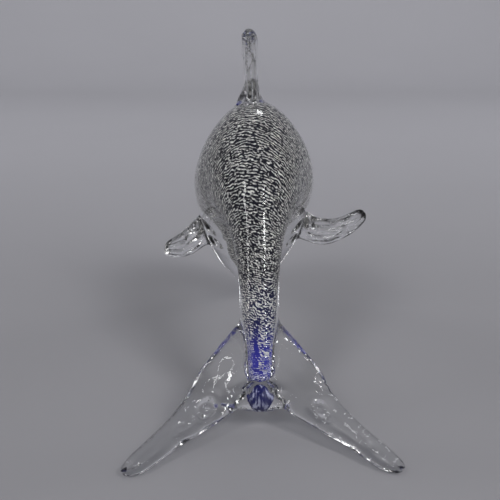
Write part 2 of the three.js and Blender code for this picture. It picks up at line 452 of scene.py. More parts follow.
TOOL_MARKS = (
    ToolMark((-24.5, -86.0, 15.5), LEFT_RUN, 10.5, 7.0, 4.4, 2.5),
    ToolMark((-36.0, -97.0, 10.0), LEFT_RUN, 6.0, 3.2, 2.2, 1.5),
    ToolMark((27.0, -87.0, 15.0), RIGHT_RUN, 10.0, 5.5, 4.2, 2.5),
    ToolMark((29.5, -78.5, 20.0), RIGHT_RUN, 6.0, 4.6, 3.2, 1.5),
    ToolMark((46.5, -107.5, 8.5), RIGHT_RUN, 6.5, 3.4, 2.4, 1.0),
    ToolMark((9.0, -80.0, 15.0), ACROSS_RUN, 5.0, 3.5, 1.6, 1.5),
    ToolMark((-10.0, -80.0, 15.5), ACROSS_RUN, 5.0, 3.5, 1.7, 1.5),
    ToolMark((25.0, 50.0, 61.5), FLANK_RUN, 9.0, 6.0, 2.8, 2.0, RIGHT_FLANK),
    ToolMark((23.5, 60.0, 49.0), FLANK_RUN, 7.0, 5.0, 2.6, 1.5, RIGHT_FLANK),
    ToolMark((-25.5, 51.0, 60.0), FLANK_RUN, 9.0, 6.5, 3.0, 2.0, LEFT_FLANK),
    ToolMark((-22.5, 60.0, 48.0), FLANK_RUN, 7.0, 5.5, 2.8, 1.5, LEFT_FLANK),
)


@dataclass
class CrystalGlass:
    """The clear glass: one fused skin, parted into the pieces that are joined hot.

    Attributes:
        body_sides: Vertices round the body before the fusing.
        limb_sides: Vertices round a fin or fluke.
        snout: Station where the body rounds off to its snout.
        fluke_tip: Station where a fluke rounds off.
        fin_tip: Station where a fin rounds off.
        voxel: Grain of the fusing, in millimetres.
        passes: Smoothing passes over the whole skin, which round the joins.
        last_passes: Smoothing passes after the tool marks, as in the last flame.
        ripple: Height of the slow waves that hot working leaves, in millimetres.
        long_wave: Size of the larger waves, in millimetres.
        short_wave: Size of the smaller ones, in millimetres.
        sink: How far all of the skin is drawn in, in heights of the ripple.
        fin_extra: Girth that the fins lose again when the skin is smoothed, in millimetres.
        split: Station where the flukes piece takes over from the body.
        dorsal_cut: Height where the dorsal fin is parted from the body, in millimetres.
        flipper_cut: Distance from the middle where a flipper is parted, in millimetres.
    """

    body_sides: int = 72
    limb_sides: int = 40
    snout: float = 0.972
    fluke_tip: float = 0.8
    fin_tip: float = 0.88
    voxel: float = 0.8
    passes: int = 10
    last_passes: int = 5
    ripple: float = 0.12
    long_wave: float = 11.0
    short_wave: float = 5.0
    sink: float = 0.6
    fin_extra: float = 0.6
    split: float = 0.135
    dorsal_cut: float = 141.5
    flipper_cut: float = 33.4
    pieces: list[bpy.types.Object] = field(default_factory=list)

    def blank(self) -> bpy.types.Object:
        """Every limb in one mesh, each a closed skin that runs into its neighbours.

        Returns:
            The mesh's object.
        """
        bm = new_bmesh()
        tail = [(0.0, 0.0), (0.7, 0.008)]
        shaft = [(1.0, station) for station in spread(0.03, self.snout, 90)]
        loft(bm, BODY, [*tail, *shaft, *round_tip(self.snout, 6)], self.body_sides)
        for limb in (BLADE, mirrored(BLADE), WEB):
            loft(bm, limb, taper(self.fluke_tip), self.limb_sides)
        for limb in (DORSAL, FLIPPER_RIGHT, FLIPPER_LEFT):
            loft(bm, limb, taper(self.fin_tip), self.limb_sides, self.fin_extra)
        bmesh.ops.recalc_face_normals(bm, faces=bm.faces)
        return as_object(bm, "glass_blank")

    def fused(self) -> bmesh.types.BMesh:
        """The limbs melted into one closed skin, smoothed and set flat on its three feet.

        Returns:
            The skin.
        """
        blank = self.blank()
        melt = blank.modifiers.new("melt", "REMESH")
        melt.mode = "VOXEL"
        melt.voxel_size = self.voxel * MM
        melted = blank.evaluated_get(bpy.context.evaluated_depsgraph_get())
        bm = bmesh.new()
        bm.from_mesh(melted.to_mesh())
        melted.to_mesh_clear()
        mesh = blank.data
        bpy.data.objects.remove(blank)
        bpy.data.meshes.remove(mesh)
        self.smooth(bm, self.passes)
        self.work(bm)
        self.slice(bm, Vector(), Vector((0, 0, -1)), shows=True)
        return bm

    def smooth(self, bm: bmesh.types.BMesh, passes: int) -> None:
        """Evens out the whole skin.

        Args:
            bm: The skin.
            passes: How many times.
        """
        for _ in range(passes):
            bmesh.ops.smooth_vert(
                bm, verts=bm.verts, factor=0.5, use_axis_x=True, use_axis_y=True, use_axis_z=True
            )

    def work(self, bm: bmesh.types.BMesh) -> None:
        """Adds the marks and slow waves of hot working to the skin.

        Args:
            bm: The skin.
        """
        bm.normal_update()
        for mark in (*FLUTES, *TOOL_MARKS):
            mark.cut(bm)
        bm.normal_update()
        for vert in bm.verts:
            place = vert.co / MM
            wave = noise.noise(place / self.long_wave) + 0.5 * noise.noise(place / self.short_wave)
            vert.co += vert.normal * (wave - self.sink) * self.ripple * MM
        self.smooth(bm, self.last_passes)
        bm.normal_update()

    def slice(self, bm: bmesh.types.BMesh, place: Vector, outward: Vector, shows: bool) -> None:
        """Cuts away what lies beyond a plane and closes the cut with a flat face.

        Args:
            bm: The closed skin to cut.
            place: A point on the plane, in millimetres.
            outward: The plane's normal, towards what is cut away.
            shows: True for an outside face, False for a parting face inside fused glass.
        """
        cut = bmesh.ops.bisect_plane(
            bm,
            geom=[*bm.verts, *bm.edges, *bm.faces],
            dist=1e-7,
            plane_co=place * MM,
            plane_no=outward,
            clear_outer=True,
        )["geom_cut"]
        rim = [item for item in cut if isinstance(item, bmesh.types.BMEdge)]
        caps = bmesh.ops.triangle_fill(bm, use_beauty=True, use_dissolve=False, edges=rim)["geom"]
        faces = [item for item in caps if isinstance(item, bmesh.types.BMFace)]
        for face in faces:
            face.smooth = False
            face.material_index = 0 if shows else 1
            if face.normal.dot(outward) < 0:
                face.normal_flip()

    def part(
        self, name: str, source: bpy.types.Mesh, cuts: Iterable[tuple[Vector, Vector]]
    ) -> None:
        """Cuts one piece out of the fused skin and keeps the skin's own shading up to the cut.

        Args:
            name: Name of the piece, and of the node that it stands for.
            source: The whole fused skin, with its normals stored at its points.
            cuts: The planes that bound the piece, each a point and an outward normal.
        """
        bm = bmesh.new()
        bm.from_mesh(source)
        for place, outward in cuts:
            self.slice(bm, place, outward, shows=False)
        stored = bm.verts.layers.float_vector["fused_normal"]
        normals = [
            loop.vert[stored].normalized() if face.smooth else face.normal.copy()
            for face in bm.faces
            for loop in face.loops
        ]
        mesh = bpy.data.meshes.new(name)
        bm.to_mesh(mesh)
        bm.free()
        mesh.normals_split_custom_set(normals)
        mesh.attributes.remove(mesh.attributes["fused_normal"])
        piece = bpy.data.objects.new(f"{name}_glass", mesh)
        bpy.context.scene.collection.objects.link(piece)
        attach(piece, "root")
        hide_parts(name)
        self.pieces.append(piece)
        log.info("%s: %d faces", name, len(mesh.polygons))

    def build(self) -> None:
        """Makes the fused skin and parts it into its five pieces."""
        bm = self.fused()
        stored = bm.verts.layers.float_vector.new("fused_normal")
        for vert in bm.verts:
            vert[stored] = vert.normal
        whole = bpy.data.meshes.new("fused_glass")
        bm.to_mesh(whole)
        bm.free()
        joint = BODY.centre(self.split)
        upstream = BODY.tangent(self.split)
        above = (joint, -upstream)
        top = Vector((0, 0, self.dorsal_cut))
        right = Vector((self.flipper_cut, 0, 0))
        up, out = Vector((0, 0, 1)), Vector((1, 0, 0))
        self.part("tail_flukes", whole, [(joint, upstream)])
        self.part("dorsal_fin", whole, [above, (top, -up)])
        self.part("pectoral_fin_right", whole, [above, (right, -out)])
        self.part("pectoral_fin_left", whole, [above, (-right, out)])
        self.part("clear_body", whole, [above, (top, up), (right, out), (-right, -out)])
        bpy.data.meshes.remove(whole)

    def dress(self, crystal: bpy.types.Material, joint: bpy.types.Material) -> None:
        """Gives every piece its clear glass and its invisible parting faces.

        Args:
            crystal: Finish of the outside.
            joint: Finish of the parting faces.
        """
        for piece in self.pieces:
            piece.data.materials.append(crystal)
            piece.data.materials.append(joint)


@dataclass
class SilveredCore:
    """The cobalt core and the silver leaf that is wrapped round it.

    Attributes:
        share_tail: Core's share of the body's girth in the tail stock.
        share_body: Its share in the body.
        share_head: Its share in the head.
        swell: Stations between which the share eases from tail to body.
        taper: Stations between which it eases from body to head.
        front: Station of the core's front end.
        front_round: Length of its blunt front, in stations.
        back: Station of the core's back end.
        back_round: Length of its rounding, in stations.
        leaf_back: Station where the leaf stops.
        skin: How far the leaf lies inside that share, in millimetres.
        leaf_wall: Thickness of the leaf, in millimetres.
        clearance: Gap between core and leaf, in millimetres.
        painted_reflection_bead: Middle of a cobalt bead under the core, a painted reflection that
            stands in for the refracted copy of the core's end, in millimetres.
        painted_reflection_bead_size: Its half sizes, in millimetres.
        collar: Middles of the cobalt drawn up on both sides of the dorsal fin, in millimetres.
        collar_size: Half sizes of each side, in millimetres.
        unleafed: Added depth in the straightened place of these leafless parts, in millimetres.
        shoulder_gap: How far the core's shoulder lies behind the leaf's edge, in stations.
        front_rings: Rings over the blunt front.
        leaf_rings: Rings along the leaf.
        leaf_sides: Vertices round the leaf.
        core_rings: Rings along the leafed part of the core.
        core_sides: Vertices round the core.
    """

    share_tail: float = 0.54
    share_body: float = 0.65
    share_head: float = 0.34
    swell: tuple[float, float] = (0.12, 0.40)
    taper: tuple[float, float] = (0.42, 0.62)
    front: float = 0.80
    front_round: float = 0.14
    back: float = 0.003
    back_round: float = 0.03
    leaf_back: float = 0.036
    skin: float = 0.3
    leaf_wall: float = 0.35
    clearance: float = 0.25
    painted_reflection_bead: tuple[float, float, float] = (0.0, -74.3, 15.4)
    painted_reflection_bead_size: tuple[float, float, float] = (4.4, 2.6, 4.8)
    collar: tuple[tuple[float, float, float], ...] = ((-7.2, 12.5, 136.4), (2.4, 12.5, 136.4))
    collar_size: tuple[float, float, float] = (2.6, 3.2, 1.2)
    unleafed: float = 200.0
    shoulder_gap: float = 0.0006
    front_rings: int = 24
    leaf_rings: int = 260
    leaf_sides: int = 160
    core_rings: int = 120
    core_sides: int = 96

    def share(self, station: float, inset: float) -> float:
        """Share of the body's girth that the core has.

        Args:
            station: Place along the body.
            inset: How far it is drawn in there, in millimetres.

        Returns:
            The share, which falls to 0 at the front.
        """
        share = self.share_tail + (self.share_body - self.share_tail) * ease(station, *self.swell)
        share += (self.share_head - share) * ease(station, *self.taper)
        width, depth, _ = BODY.girth(station)
        inside = min(max((self.front - station) / self.front_round, 0.0), 1.0)
        return (share - inset / min(width, depth)) * math.sqrt(1 - (1 - inside) ** 2)

    def wall(self, back: float, inset: float, steps: int) -> list[Ring]:
        """Rings of the wall from a station to the closed front.

        Args:
            back: The station where it starts.
            inset: How far it lies inside the core's share, in millimetres.
            steps: Rings up to the blunt front.

        Returns:
            The rings.
        """
        shaft_end = self.front - self.front_round
        turns = spread(0.0, math.pi / 2, self.front_rings)[1:-1]
        stations = spread(back, shaft_end, steps)
        stations += [shaft_end + self.front_round * math.sin(a) for a in turns]
        return [(self.share(t, inset), t) for t in stations] + [(0.0, self.front)]

    def build_leaf(self) -> bpy.types.Object:
        """A thin sleeve of leaf, closed over the core's front and open at the tail.

        Returns:
            Its object.
        """
        bm = new_bmesh()
        loft(bm, BODY, self.wall(self.leaf_back, self.skin, self.leaf_rings), self.leaf_sides)
        bmesh.ops.recalc_face_normals(bm, faces=bm.faces)
        bmesh.ops.solidify(bm, geom=bm.faces, thickness=self.leaf_wall * MM)
        return as_object(bm, "silver_leaf_sleeve")

    def build_core(self) -> bpy.types.Object:
        """The solid cobalt gather, rounded at both ends, with a shoulder where the leaf stops.

        Returns:
            Its object, with the bead of painted reflection and the collar in the same mesh.
        """
        start = self.back + self.back_round
        shoulder = self.leaf_back - self.shoulder_gap
        girth = self.share(start, self.skin)
        turns = spread(0.0, math.pi / 2, 10)[1:-1]
        end = [
            (girth * math.sin(a), self.back + self.back_round * (1 - math.cos(a))) for a in turns
        ]
        stub = [(self.share(t, self.skin), t) for t in spread(start, shoulder, 3)]
        inset = self.skin + self.leaf_wall + self.clearance
        rings = self.wall(shoulder, inset, self.core_rings)
        bm = new_bmesh()
        loft(bm, BODY, [(0.0, self.back), *end, *stub, *rings], self.core_sides)
        flow = bm.verts.layers.float_vector[FLOW]
        # The first bead is a painted reflection: a dark drop where the flukes show a refracted copy
        # of the core's end.
        beads = [(self.painted_reflection_bead, self.painted_reflection_bead_size), *((side, self.collar_size) for side in self.collar)]
        for middle, size in beads:
            place = Matrix.Translation(Vector(middle) * MM) @ Matrix.Diagonal((*size, 1.0))
            bead = bmesh.ops.create_uvsphere(
                bm, u_segments=32, v_segments=16, radius=MM, matrix=place
            )
            for vert in bead["verts"]:
                vert[flow] = vert.co / MM - Vector((0, 0, self.unleafed))
        bmesh.ops.recalc_face_normals(bm, faces=bm.faces)
        return as_object(bm, "cobalt_core")

    def build(self, leaf: bpy.types.Material, cobalt: bpy.types.Material) -> None:
        """Makes and dresses both pieces.

        Args:
            leaf: Finish of the leaf.
            cobalt: Finish of the core.
        """
        for piece, node, slot, finish in (
            (self.build_leaf(), "silver_leaf", Slot.LEAF, leaf),
            (self.build_core(), "blue_core", Slot.COBALT, cobalt),
        ):
            piece.data.materials.append(finish)
            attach(piece, "root")
            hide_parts(node)
            log.info("%s: %d faces", piece.name, len(piece.data.polygons))


@dataclass
class Eye:
    """A white bead with a dark dot, set on one side of the head.

    Attributes:
        side: "right" or "left".
        segments: Facets round a bead.
        fill: Share of its node's box that a bead fills along and up the head.
    """

    side: str
    segments: int = 48
    fill: float = 0.98

    def dome(self, node: str) -> bmesh.types.BMesh:
        """A flattened ball in a node's box.

        Args:
            node: The node whose place it takes.

        Returns:
            The ball.
        """
        low, high = (Vector(corner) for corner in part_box(node))
        size = high - low
        bm = bmesh.new()
        bmesh.ops.create_uvsphere(
            bm, u_segments=self.segments, v_segments=self.segments // 2, radius=0.5
        )
        grow = Matrix.Diagonal((size.x, size.y * self.fill, size.z * self.fill, 1.0))
        bmesh.ops.transform(bm, matrix=Matrix.Translation((low + high) / 2) @ grow, verts=bm.verts)
        return bm

    def build(self, white: bpy.types.Material, black: bpy.types.Material) -> None:
        """Makes and dresses the bead and its dot.

        Args:
            white: Finish of the bead.
            black: Finish of the dot.
        """
        for kind, slot, finish in (("white", Slot.WHITE, white), ("pupil", Slot.BLACK, black)):
            node = f"eye_{kind}_{self.side}"
            piece = as_object(self.dome(node), f"{node}_bead")
            piece.data.materials.append(finish)
            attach(piece, "root")
            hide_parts(node)
            log.info("%s", piece.name)


# ---------------------------------------------------------------- finishes

Socket = bpy.types.NodeSocket
Value = float | tuple[float, ...] | Socket
Colour = tuple[float, float, float, float]
Limits = tuple[float, float]

MIX_NUMBERS = (0, 2, 3, 0)
MIX_COLOURS = (0, 6, 7, 2)
BLACK = (0.0, 0.0, 0.0, 1.0)


class Wiring:
    """Adds nodes to a tree and joins them in one call each."""

    def __init__(self, tree: bpy.types.NodeTree) -> None:
        """Starts from an empty tree."""
        self.tree = tree
        tree.nodes.clear()

    def put(self, socket: Socket, value: Value) -> None:
        """Joins a socket to another one, or sets its own value.

        Args:
            socket: The input.
            value: The output to join it to, or the value to set.
        """
        if isinstance(value, bpy.types.NodeSocket):
            self.tree.links.new(value, socket)
        else:
            socket.default_value = value

    def add(
        self, kind: str, settings: dict[str, object] | None = None, **values: Value
    ) -> bpy.types.Node:
        """Adds a node.

        Args:
            kind: The node's type, without its "ShaderNode" prefix.
            settings: Properties of the node itself.
            values: Inputs by name, with _ for each space.

        Returns:
            The new node.
        """
        node = self.tree.nodes.new(f"ShaderNode{kind}")
        for key, value in (settings or {}).items():
            setattr(node, key, value)
        sockets = {socket.identifier: socket for socket in node.inputs}
        for key, value in values.items():
            name = key.replace("_", " ")
            self.put(node.inputs[name] if name in node.inputs else sockets[name], value)
        return node

    def math(self, operation: str, first: Value, second: Value = 0.0) -> Socket:
        """One Math node's result.

        Args:
            operation: What it works out.
            first: Its first value.
            second: Its second value, where it has one.

        Returns:
            The node's output.
        """
        node = self.add("Math", {"operation": operation})
        self.put(node.inputs[0], first)
        self.put(node.inputs[1], second)
        return node.outputs[0]

    def mixed(self, kind: str, sockets: tuple[int, ...], *values: Value) -> Socket:
        """A Mix node's result.

        Args:
            kind: The kind of value that it mixes.
            sockets: Places of its factor, first value, second value and result for that kind.
            values: The factor and the two values.

        Returns:
            The node's output.
        """
        node = self.add("Mix", {"data_type": kind})
        *given, result = sockets
        for index, value in zip(given, values):
            self.put(node.inputs[index], value)
        return node.outputs[result]

    def mix(self, factor: Value, first: Value, second: Value) -> Socket:
        """A blend of two colours."""
        return self.mixed("RGBA", MIX_COLOURS, factor, first, second)

    def blend(self, factor: Value, first: Value, second: Value) -> Socket:
        """A blend of two numbers."""
        return self.mixed("FLOAT", MIX_NUMBERS, factor, first, second)

    def ramp(self, value: Socket, limits: Limits, ends: Limits = (0.0, 1.0)) -> Socket:
        """A smooth step.

        Args:
            value: What is followed.
            limits: Its values where the step starts and ends.
            ends: The result at these limits.

        Returns:
            The node's output.
        """
        node = self.add("MapRange", {"interpolation_type": "SMOOTHSTEP"}, Value=value)
        names = ("From Min", "From Max", "To Min", "To Max")
        for name, number in zip(names, (*limits, *ends)):
            node.inputs[name].default_value = number
        return node.outputs["Result"]

    def finish(self, shader: Socket) -> None:
        """Joins a shader to the material's output."""
        output = self.add("OutputMaterial")
        self.tree.links.new(shader, output.inputs["Surface"])


def new_material(name: str) -> tuple[bpy.types.Material, Wiring]:
    """A material with an empty tree, and the wiring for it."""
    material = bpy.data.materials.new(name)
    material.use_nodes = True
    return material, Wiring(material.node_tree)


@dataclass(frozen=True)
class Crackle:
    """Node group of broken leaf: short bright flecks that run mostly round the piece.

    Attributes:
        drift_scale: Scale of the slow drift that bends the rows of flecks.
        drift: Reach of that drift, in millimetres.
        way: Direction in which the waves follow one another.
        fine_order: How strictly the fine waves keep to that direction.
        coarse_order: How strictly the coarse waves keep to it.
        break_scale: Scale of the noise that breaks the flecks up.
        breaks: Strength of that noise.
        mask: Levels between which bare glass turns to leaf.
        relief: Levels between which the leaf rises.
    """

    drift_scale: float = 0.3
    drift: float = 1.8
    way: tuple[float, float, float] = (0.05, 0.0, 1.0)
    fine_order: float = 0.5
    coarse_order: float = 0.85
    break_scale: float = 0.9
    breaks: float = 0.5
    mask: Limits = (0.96, 1.06)
    relief: Limits = (0.85, 1.20)

    def waves(self, net: Wiring, place: Socket, period: Socket, order: float) -> Socket:
        """Gabor waves.

        Args:
            net: The group's wiring.
            place: Where they are taken, in millimetres.
            period: Distance from one to the next, in millimetres.
            order: How strictly they keep to their direction, 0 to 1.

        Returns:
            Their height.
        """
        scale = net.math("DIVIDE", 0.5, period)
        node = net.add("TexGabor", {"gabor_type": "3D"}, Vector=place, Scale=scale, Frequency=2.0,
                       Anisotropy=order, Orientation_3D=self.way)
        return node.outputs["Value"]

    def build(self) -> bpy.types.NodeTree:
        """Makes the group once, for every finish that uses it.

        Returns:
            The group, with inputs Flow, Fine, Coarse, Blend and Cover, and outputs Mask and Relief.
        """
        tree = bpy.data.node_groups.new("broken_leaf", "ShaderNodeTree")
        tree.interface.new_socket(name="Flow", in_out="INPUT", socket_type="NodeSocketVector")
        for name in ("Fine", "Coarse", "Blend", "Cover"):
            tree.interface.new_socket(name=name, in_out="INPUT", socket_type="NodeSocketFloat")
        for name in ("Mask", "Relief"):
            tree.interface.new_socket(name=name, in_out="OUTPUT", socket_type="NodeSocketFloat")
        net = Wiring(tree)
        given = tree.nodes.new("NodeGroupInput").outputs
        put_out = tree.nodes.new("NodeGroupOutput").inputs
        drift = net.add("TexNoise", Vector=given["Flow"], Scale=self.drift_scale, Detail=1.0)
        shift = net.add("VectorMath", {"operation": "SCALE"}, Scale=self.drift)
        net.put(shift.inputs[0], drift.outputs["Color"])
        wander = net.add("VectorMath", {"operation": "ADD"})
        net.put(wander.inputs[0], given["Flow"])
        net.put(wander.inputs[1], shift.outputs[0])
        place = wander.outputs[0]
        fine = self.waves(net, place, given["Fine"], self.fine_order)
        coarse = self.waves(net, place, given["Coarse"], self.coarse_order)
        both = net.blend(given["Blend"], fine, coarse)
        breaks = net.add("TexNoise", Vector=place, Scale=self.break_scale, Detail=1.0,
                         Roughness=0.5)
        centred = net.math("SUBTRACT", breaks.outputs["Fac"], 0.5)
        broken = net.math("ADD", both, net.math("MULTIPLY", centred, self.breaks))
        level = net.math("ADD", broken, given["Cover"])
        net.put(put_out["Mask"], net.ramp(level, self.mask))
        net.put(put_out["Relief"], net.ramp(level, self.relief))
        return tree


@dataclass(frozen=True)
class Crystal:
    """Fire-polished colourless glass.

    Attributes:
        colour: The glass.
        cord: The faint streaks in it.
        cord_scale: Scale of the streaks.
        wave_scale: Scale of the polish's slight waves.
        waves: Strength of these.
        index: Index of refraction.
        shade: How much of a lamp's light each wall lets through to what lies behind it.
    """

    colour: Colour = (1.0, 1.0, 1.0, 1.0)
    cord: Colour = (0.975, 0.985, 0.98, 1.0)
    cord_scale: float = 60.0
    wave_scale: float = 160.0
    waves: float = 0.05
    index: float = 1.51
    shade: Colour = (0.54, 0.55, 0.57, 1.0)

    def build(self) -> bpy.types.Material:
        """Clear glass that lets lamps through, so that what it encases is lit.

        Returns:
            The material.
        """
        material, net = new_material("clear_crystal")
        place = net.add("TexCoord").outputs["Object"]
        cords = net.add("TexNoise", Vector=place, Scale=self.cord_scale, Detail=2.0, Distortion=1.5)
        tint = net.mix(cords.outputs[0], self.colour, self.cord)
        waves = net.add("TexNoise", Vector=place, Scale=self.wave_scale, Detail=1.0)
        relief = net.add("Bump", Strength=self.waves, Distance=MM, Height=waves.outputs[0])
        glass = net.add("BsdfPrincipled", Base_Color=tint, Roughness=0.0, IOR=self.index,
                        Normal=relief.outputs[0])
        glass.inputs["Transmission Weight"].default_value = 1.0
        clear = net.add("BsdfTransparent", Color=self.shade)
        lamp = net.add("LightPath").outputs["Is Shadow Ray"]
        both = net.add("MixShader")
        net.put(both.inputs[0], lamp)
        net.put(both.inputs[1], glass.outputs[0])
        net.put(both.inputs[2], clear.outputs[0])
        net.finish(both.outputs[0])
        return material


@dataclass(frozen=True)
class FusedFace:
    """The face where two hot pieces of clear glass melted together: nothing shows there."""

    def build(self) -> bpy.types.Material:
        """A surface that light passes unchanged.

        Returns:
            The material.
        """
        material, net = new_material("fused_face")
        nothing = net.add("BsdfPrincipled", Alpha=0.0)
        net.finish(nothing.outputs[0])
        return material


@dataclass(frozen=True)
class BrokenLeaf:
    """Silver leaf that broke into flecks as the hot glass under it was drawn out.

    Distances along the piece are in millimetres from the tail.

    Attributes:
        silver: Bright leaf, the lit copy of the leaf in the painted sheen.
        shaded_leaf: Shaded copy of the leaf, painted shade for flecks shown turned away from the
            light.
        night: Gaps in the body's leaf.
        navy: Gaps in the stock of the tail.
        cobalt: Gaps at the bare end.
        fine: Distance between flecks in the tail, in millimetres.
        coarse: Distance between flecks in the body, in millimetres.
        coarser: Where the flecks go from fine to coarse.
        fray_scale: Scale of the frayed edges between one stretch and the next.
        fray: Depth of the fraying, in millimetres.
        seam: Place of the dark line along the stock, to the left of the middle, in millimetres.
        seam_edge: Distances from that line where the leaf starts and is whole again.
        seam_end: Where the dark line ends.
        seam_cover: Cover of the leaf on the dark line.
        thinning: Where the cover goes from its least to its most.
        cover: The least and the most cover.
        patches: Noise levels between which the painted sheen goes from shaded to lit leaf.
        painted_tail_sheen: Least painted sheen in the tail and in the body, so that the leaf in the
            tail is painted lit.
        tail_end: Where the tail's painted sheen ends.
        navy_end: Where the gaps go from navy to night.
        cobalt_end: Where the gaps go from cobalt to navy.
        roughness: Roughness of the gaps and of the leaf.
    """

    silver: Colour = (0.84, 0.83, 0.78, 1.0)
    shaded_leaf: Colour = (0.26, 0.26, 0.255, 1.0)
    night: Colour = (0.006, 0.006, 0.012, 1.0)
    navy: Colour = (0.010, 0.012, 0.060, 1.0)
    cobalt: Colour = (0.032, 0.033, 0.30, 1.0)
    fine: float = 0.9
    coarse: float = 1.15
    coarser: Limits = (50.0, 95.0)
    fray_scale: float = 0.16
    fray: float = 18.0
    seam: float = 1.6
    seam_edge: Limits = (0.2, 1.3)
    seam_end: Limits = (34.0, 44.0)
    seam_cover: float = 0.30
    thinning: Limits = (10.0, 44.0)
    cover: Limits = (0.43, 0.47)
    patches: Limits = (0.3, 0.7)
    painted_tail_sheen: Limits = (0.8, 0.0)
    tail_end: Limits = (44.0, 56.0)
    navy_end: Limits = (34.0, 58.0)
    cobalt_end: Limits = (14.0, 36.0)
    roughness: Limits = (0.40, 0.50)

    def cover_at(self, net: Wiring, flow: Socket, across: Socket, along: Socket) -> Socket:
        """How much of the glass the leaf covers.

        Args:
            net: The material's wiring.
            flow: The straightened place.
            across: Its distance to the right of the middle.
            along: Its distance from the tail.

        Returns:
            The cover, which is least on the dark line along the stock.
        """
        patches = net.add("TexNoise", Vector=flow, Scale=self.fray_scale, Detail=2.0).outputs[0]
        frayed = net.math("ADD", along, net.math("MULTIPLY", patches, self.fray))
        beside = net.math("ABSOLUTE", net.math("ADD", across, self.seam))
        off_seam = net.ramp(beside, self.seam_edge)
        kept = net.math("MAXIMUM", off_seam, net.ramp(frayed, self.seam_end))
        return net.blend(kept, self.seam_cover, net.ramp(frayed, self.thinning, self.cover))

    def build(self, crackle: bpy.types.NodeTree) -> bpy.types.Material:
        """Bright flecks over dark glass, thinning out to bare cobalt towards the tail.

        Args:
            crackle: The node group of broken leaf.

        Returns:
            The material.
        """
        material, net = new_material("silver_leaf")
        flow = net.add("Attribute", {"attribute_name": FLOW}).outputs["Vector"]
        place = net.add("SeparateXYZ", Vector=flow).outputs
        along = place["Z"]
        leaf = net.add("Group", {"node_tree": crackle}, Flow=flow, Fine=self.fine,
                       Coarse=self.coarse, Blend=net.ramp(along, self.coarser),
                       Cover=self.cover_at(net, flow, place["X"], along))
        mask = leaf.outputs["Mask"]
        # Painted sheen: random flecks and the tail stock get the lit leaf, the rest gets the shaded
        # copy.
        painted_sheen = net.ramp(net.add("TexNoise", Vector=flow, Scale=0.9, Detail=2.0).outputs[0],
                         self.patches)
        tail = net.ramp(along, self.tail_end, self.painted_tail_sheen)
        leaf_with_sheen = net.mix(net.math("MAXIMUM", painted_sheen, tail), self.shaded_leaf, self.silver)
        deep = net.mix(net.ramp(along, self.navy_end), self.navy, self.night)
        ground = net.mix(net.ramp(along, self.cobalt_end), self.cobalt, deep)
        skin = net.add("BsdfPrincipled", Base_Color=net.mix(mask, ground, leaf_with_sheen),
                       Metallic=net.math("MULTIPLY", mask, 0.35),
                       Roughness=net.ramp(mask, (0.0, 1.0), self.roughness))
        skin.inputs["Specular IOR Level"].default_value = 0.1
        relief = net.add("Bump", Strength=0.7, Distance=0.0004, Height=leaf.outputs["Relief"])
        net.put(skin.inputs["Normal"], relief.outputs[0])
        net.finish(skin.outputs[0])
        return material


@dataclass(frozen=True)
class CobaltGlass:
    """Deep blue glass of the core, with a last dusting of silver at its bare end.

    Attributes:
        blue: The glass.
        deep: Streaks of depth in it.
        night: The bead of painted reflection and the collar, which have no leaf.
        thread: Pale threads along these.
        dust: Specks of silver.
        speck: Distance between specks, in millimetres.
        cover: How much of the glass they cover.
        streaks: Noise levels between which blue goes deep.
        leafed: Depths between which the core takes over from the bead of painted reflection and the
            collar, in millimetres.
        drawn: How the threads' noise is stretched along the piece.
        threads: Noise levels between which a thread shows.
    """

    blue: Colour = (0.040, 0.042, 0.31, 1.0)
    deep: Colour = (0.016, 0.016, 0.20, 1.0)
    night: Colour = (0.009, 0.010, 0.075, 1.0)
    thread: Colour = (0.30, 0.31, 0.42, 1.0)
    dust: Colour = (0.72, 0.72, 0.76, 1.0)
    speck: float = 0.85
    cover: float = 0.43
    streaks: Limits = (0.35, 0.65)
    leafed: Limits = (-12.0, -8.0)
    drawn: tuple[float, float, float] = (1.0, 1.0, 0.2)
    threads: Limits = (0.50, 0.62)

    def build(self, crackle: bpy.types.NodeTree) -> bpy.types.Material:
        """Blue with slow streaks of depth and fine specks.

        Args:
            crackle: The node group of broken leaf.

        Returns:
            The material.
        """
        material, net = new_material("cobalt_glass")
        flow = net.add("Attribute", {"attribute_name": FLOW}).outputs["Vector"]
        streaks = net.add("TexNoise", Vector=flow, Scale=0.25, Detail=3.0, Distortion=1.0)
        body = net.mix(net.ramp(streaks.outputs[0], self.streaks), self.blue, self.deep)
        specks = net.add("Group", {"node_tree": crackle}, Flow=flow, Fine=self.speck,
                         Coarse=self.speck, Blend=0.0, Cover=self.cover)
        leafed = net.ramp(net.add("SeparateXYZ", Vector=flow).outputs["Z"], self.leafed)
        drawn = net.add("VectorMath", {"operation": "MULTIPLY"})
        net.put(drawn.inputs[0], flow)
        net.put(drawn.inputs[1], self.drawn)
        threads = net.add("TexNoise", Vector=drawn.outputs[0], Scale=0.8, Detail=3.0).outputs[0]
        dark = net.mix(net.ramp(threads, self.threads), self.night, self.thread)
        colour = net.mix(leafed, dark, net.mix(specks.outputs["Mask"], body, self.dust))
        glass = net.add("BsdfPrincipled", Base_Color=colour, Roughness=0.12)
        glass.inputs["Specular IOR Level"].default_value = 0.2
        net.finish(glass.outputs[0])
        return material


@dataclass(frozen=True)
class BeadGlass:
    """Opaque coloured glass, as used for the eyes.

    Attributes:
        name: Name of the material.
        colour: The glass.
        shade: The faint clouds in it.
        cloud_scale: Scale of the clouds.
    """

    name: str
    colour: Colour
    shade: Colour
    cloud_scale: float = 400.0

    def build(self) -> bpy.types.Material:
        """A glossy bead with a faint cloudiness.

        Returns:
            The material.
        """
        material, net = new_material(self.name)
        place = net.add("TexCoord").outputs["Object"]
        clouds = net.add("TexNoise", Vector=place, Scale=self.cloud_scale, Detail=2.0).outputs[0]
        colour = net.mix(clouds, self.colour, self.shade)
        bead = net.add("BsdfPrincipled", Base_Color=colour, Roughness=0.08)
        bead.inputs["Coat Weight"].default_value = 0.5
        net.finish(bead.outputs[0])
        return material


